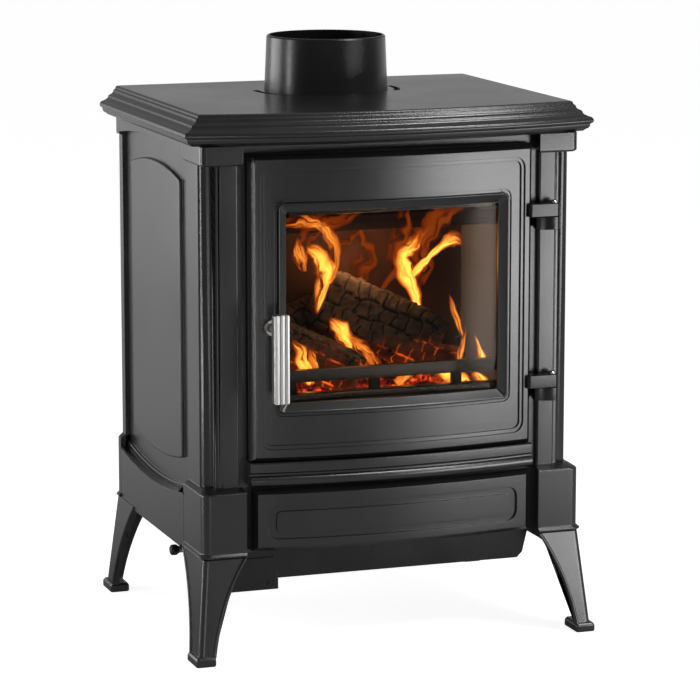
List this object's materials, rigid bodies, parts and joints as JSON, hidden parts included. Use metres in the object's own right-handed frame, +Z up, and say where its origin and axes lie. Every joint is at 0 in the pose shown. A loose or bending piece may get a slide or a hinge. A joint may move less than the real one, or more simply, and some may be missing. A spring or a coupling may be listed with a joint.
{
  "type": "wood-burning stove",
  "caption": "Free-standing cast-iron wood stove with a bowed glass door, a lever handle, an ash drawer, an air control and a round flue collar on splayed legs.",
  "frame": {"origin": "on the floor, under the centre of the stove's bounding box", "axes": "+Z up, the door faces -Y, +X to the right as seen from the front"},
  "size_m": [0.502, 0.4296, 0.7021],
  "materials": {
    "cast_iron": "satin",
    "black_steel": "satin",
    "gloss_black": "gloss",
    "stainless": "polished",
    "zinc_steel": "satin",
    "firebrick": "matte",
    "stove_glass": "gloss",
    "rope_fibre": "matte",
    "charred_log": "matte",
    "ember": "matte",
    "flame": "matte"
  },
  "bodies": {
    "stove": {"top_plate": "cast_iron", "front_post_right": "cast_iron", "front_post_left": "cast_iron", "rear_post_right": "cast_iron", "rear_post_left": "cast_iron", "front_leg_right": "cast_iron", "front_leg_left": "cast_iron", "rear_leg_right": "cast_iron", "rear_leg_left": "cast_iron", "side_panel_right": "cast_iron", "side_panel_left": "cast_iron", "back_plate": "cast_iron", "base_plate": "cast_iron", "front_frame": "cast_iron", "front_sill": "cast_iron", "grate": "cast_iron", "log_retainer": "cast_iron", "flue_collar": "black_steel", "rear_heat_shield": "black_steel", "firebox_side_right": "black_steel", "firebox_side_left": "black_steel", "firebox_back": "black_steel", "firebox_roof": "black_steel", "firebox_floor": "black_steel", "hearth_shelf": "black_steel", "rear_air_duct": "black_steel", "base_heat_shield": "black_steel", "fixing_bracket": "black_steel", "upper_post_hinge": "gloss_black", "lower_post_hinge": "gloss_black", "upper_hinge_pin": "stainless", "lower_hinge_pin": "stainless", "front_leg_bolt_right": "zinc_steel", "front_leg_bolt_left": "zinc_steel", "rear_leg_bolt_right": "zinc_steel", "rear_leg_bolt_left": "zinc_steel", "latch_keeper": "zinc_steel", "side_lining_right": "firebrick", "side_lining_left": "firebrick", "back_lining": "firebrick", "baffle_plate": "firebrick"},
    "door": {"door_frame": "cast_iron", "door_glass": "stove_glass", "door_rope_seal": "rope_fibre", "glass_retainer_top": "black_steel", "glass_retainer_bottom": "black_steel", "upper_door_hinge": "gloss_black", "lower_door_hinge": "gloss_black", "handle_bush": "zinc_steel"},
    "handle": {"handle_bar": "stainless", "handle_spindle": "stainless", "latch_cam": "zinc_steel"},
    "ash_drawer": {"ash_drawer_front": "cast_iron", "ash_pan": "black_steel"},
    "air_control": {"air_knob": "gloss_black", "air_rod": "zinc_steel", "air_shutter": "black_steel"}
  },
  "joints": [
    {"name": "door_hinge", "type": "hinge", "parent": "stove", "child": "door", "pos_m": [0.2, -0.17275, 0.4], "axis": [0, 0, 1], "range_deg": [0, 110]},
    {"name": "handle_turn", "type": "hinge", "parent": "door", "child": "handle", "pos_m": [-0.1506, -0.17275, 0.39], "axis": [0, 1, 0], "range_deg": [0, 80]},
    {"name": "ash_drawer_slide", "type": "slide", "parent": "stove", "child": "ash_drawer", "axis": [0, -1, 0], "range_m": [0, 0.2]},
    {"name": "air_control_slide", "type": "slide", "parent": "stove", "child": "air_control", "axis": [-1, 0, 0], "range_m": [0, 0.03]}
  ]
}
